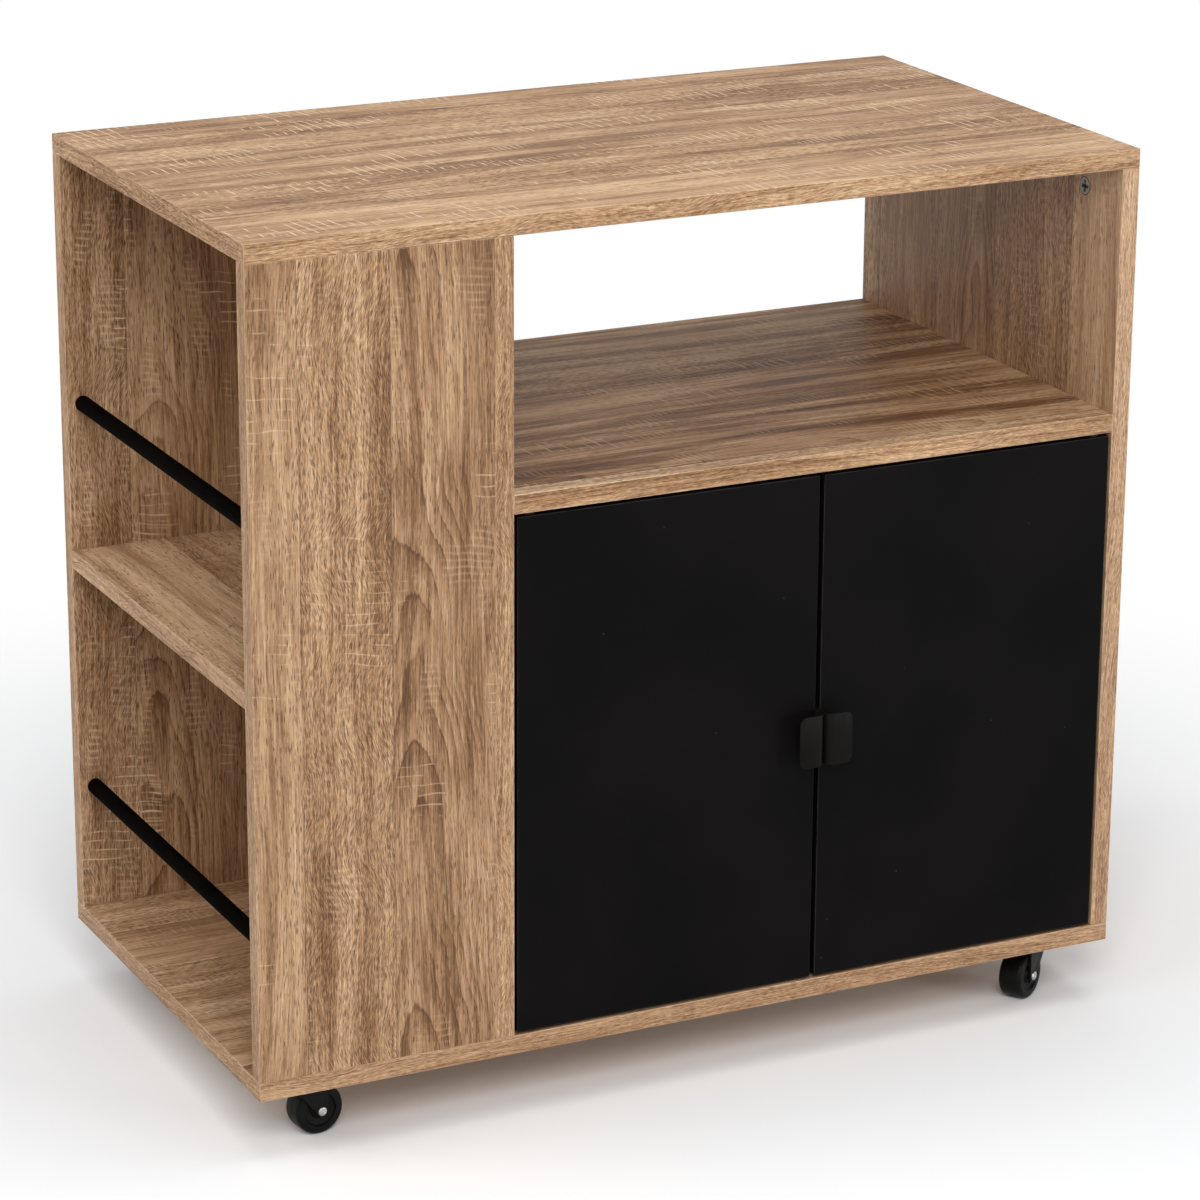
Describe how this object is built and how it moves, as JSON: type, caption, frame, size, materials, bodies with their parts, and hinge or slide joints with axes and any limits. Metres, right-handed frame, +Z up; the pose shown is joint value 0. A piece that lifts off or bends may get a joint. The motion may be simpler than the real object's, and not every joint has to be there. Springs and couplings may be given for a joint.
{
  "type": "kitchen cart",
  "caption": "Wheeled kitchen cart with a double-door cabinet, an open niche under the worktop and a side bay with a shelf and hanging rods",
  "frame": {"origin": "on the floor, at the centre of the bounding box of the whole cart", "axes": "+X to the right seen from the front and along the longest side, +Y from the front to the back, +Z up through the worktop"},
  "size_m": [0.74, 0.415, 0.708],
  "materials": {
    "oak_board": "satin printed oak decor",
    "back_sheet": "matte",
    "black_board": "matte black laminate",
    "black_steel": "satin powder coat",
    "zinc_steel": "zinc plated",
    "cast_zinc": "raw cast zinc",
    "beech": "raw",
    "black_plastic": "matte",
    "magnet_metal": "dull",
    "wheel_plastic": "satin moulded"
  },
  "bodies": {
    "cart": {"top_panel": "oak_board", "bottom_panel": "oak_board", "right_panel": "oak_board", "divider_panel": "oak_board", "bay_front_board": "oak_board", "bay_back_board": "oak_board", "bay_shelf": "oak_board", "niche_shelf": "oak_board", "cabinet_shelf": "oak_board", "cabinet_back": "back_sheet", "upper_rod": "black_steel", "lower_rod": "black_steel", "door_pivot_pins": "zinc_steel", "cam_locks": "cast_zinc", "cam_bolts": "zinc_steel", "dowels": "beech", "long_screws": "zinc_steel", "shelf_pins": "zinc_steel", "catch_housing": "black_plastic", "catch_magnets": "magnet_metal", "caster_plates": "black_steel"},
    "left_leaf": {"left_door": "black_board", "left_pull": "black_steel", "left_strike": "zinc_steel"},
    "right_leaf": {"right_door": "black_board", "right_pull": "black_steel", "right_strike": "zinc_steel"},
    "front_left_swivel": {"caster_front_left_fork": "black_steel", "caster_front_left_axle": "zinc_steel"},
    "front_left_roller": {"caster_front_left_wheel": "wheel_plastic"},
    "front_right_swivel": {"caster_front_right_fork": "black_steel", "caster_front_right_axle": "zinc_steel"},
    "front_right_roller": {"caster_front_right_wheel": "wheel_plastic"},
    "rear_left_swivel": {"caster_rear_left_fork": "black_steel", "caster_rear_left_axle": "zinc_steel"},
    "rear_left_roller": {"caster_rear_left_wheel": "wheel_plastic"},
    "rear_right_swivel": {"caster_rear_right_fork": "black_steel", "caster_rear_right_axle": "zinc_steel"},
    "rear_right_roller": {"caster_rear_right_wheel": "wheel_plastic"}
  },
  "joints": [
    {"name": "left_door_hinge", "type": "hinge", "parent": "cart", "child": "left_leaf", "pos_m": [-0.1465, -0.185, 0.275], "axis": [0, 0, -1], "range_deg": [0, 110]},
    {"name": "right_door_hinge", "type": "hinge", "parent": "cart", "child": "right_leaf", "pos_m": [0.3405, -0.185, 0.275], "axis": [0, 0, 1], "range_deg": [0, 110]},
    {"name": "caster_front_left_swivel", "type": "hinge", "parent": "cart", "child": "front_left_swivel", "pos_m": [-0.322, -0.1505, 0.0445], "axis": [0, 0, 1], "continuous": true},
    {"name": "caster_front_left_roll", "type": "hinge", "parent": "front_left_swivel", "child": "front_left_roller", "pos_m": [-0.3091, -0.14892, 0.02], "axis": [-0.1219, 0.9925, 0], "continuous": true},
    {"name": "caster_front_right_swivel", "type": "hinge", "parent": "cart", "child": "front_right_swivel", "pos_m": [0.322, -0.1505, 0.0445], "axis": [0, 0, 1], "continuous": true},
    {"name": "caster_front_right_roll", "type": "hinge", "parent": "front_right_swivel", "child": "front_right_roller", "pos_m": [0.31098, -0.15739, 0.02], "axis": [0.5299, -0.848, 0], "continuous": true},
    {"name": "caster_rear_left_swivel", "type": "hinge", "parent": "cart", "child": "rear_left_swivel", "pos_m": [-0.322, 0.1655, 0.0445], "axis": [0, 0, 1], "continuous": true},
    {"name": "caster_rear_left_roll", "type": "hinge", "parent": "rear_left_swivel", "child": "rear_left_roller", "pos_m": [-0.31012, 0.17079, 0.02], "axis": [-0.4067, 0.9135, 0], "continuous": true},
    {"name": "caster_rear_right_swivel", "type": "hinge", "parent": "cart", "child": "rear_right_swivel", "pos_m": [0.322, 0.1655, 0.0445], "axis": [0, 0, 1], "continuous": true},
    {"name": "caster_rear_right_roll", "type": "hinge", "parent": "rear_right_swivel", "child": "rear_right_roller", "pos_m": [0.3277, 0.17718, 0.02], "axis": [-0.8988, 0.4384, 0], "continuous": true}
  ]
}
